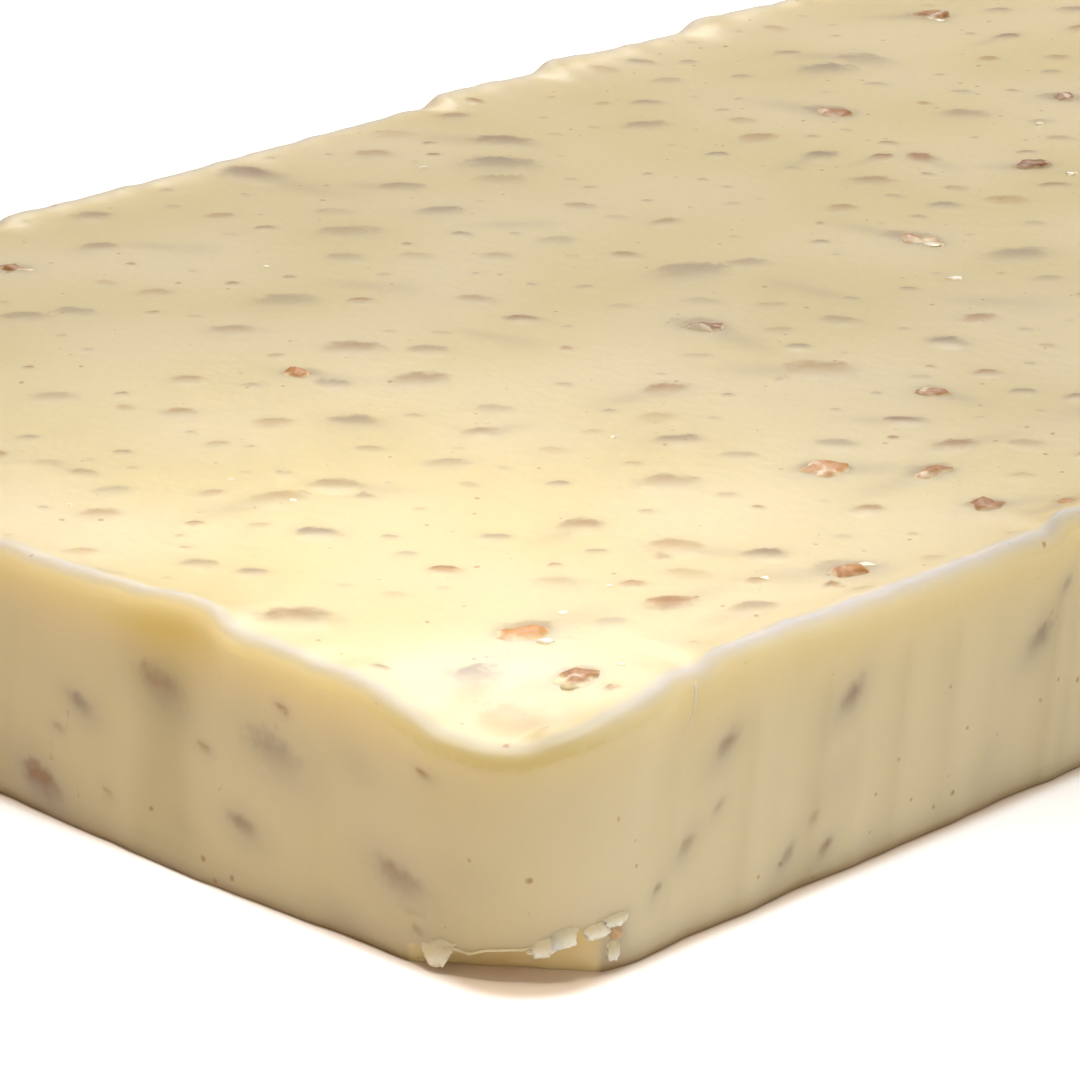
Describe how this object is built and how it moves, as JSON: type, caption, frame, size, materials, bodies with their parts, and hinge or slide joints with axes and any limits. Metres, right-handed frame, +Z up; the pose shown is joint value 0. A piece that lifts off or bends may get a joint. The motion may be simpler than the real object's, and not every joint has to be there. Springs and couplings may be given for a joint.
{
  "type": "fudge slab",
  "caption": "Flat rectangular slab of pale nut fudge with rounded corners, a raised wavy rim, fluted sides, chopped nuts breaking its top and a torn bottom corner.",
  "frame": {"origin": "middle of the slab's base, on the surface it rests on", "axes": "+X along the slab's length, +Y across it, +Z up out of the open top; the torn bottom corner is at -X -Y"},
  "size_m": [0.2824, 0.18, 0.0331],
  "materials": {
    "fudge": "set cream-coloured fudge, smooth and waxy with a soft sheen",
    "nuts": "chopped brown-skinned nuts, matt to satin"
  },
  "bodies": {
    "root": {"fudge_slab": "fudge"}
  },
  "joints": []
}
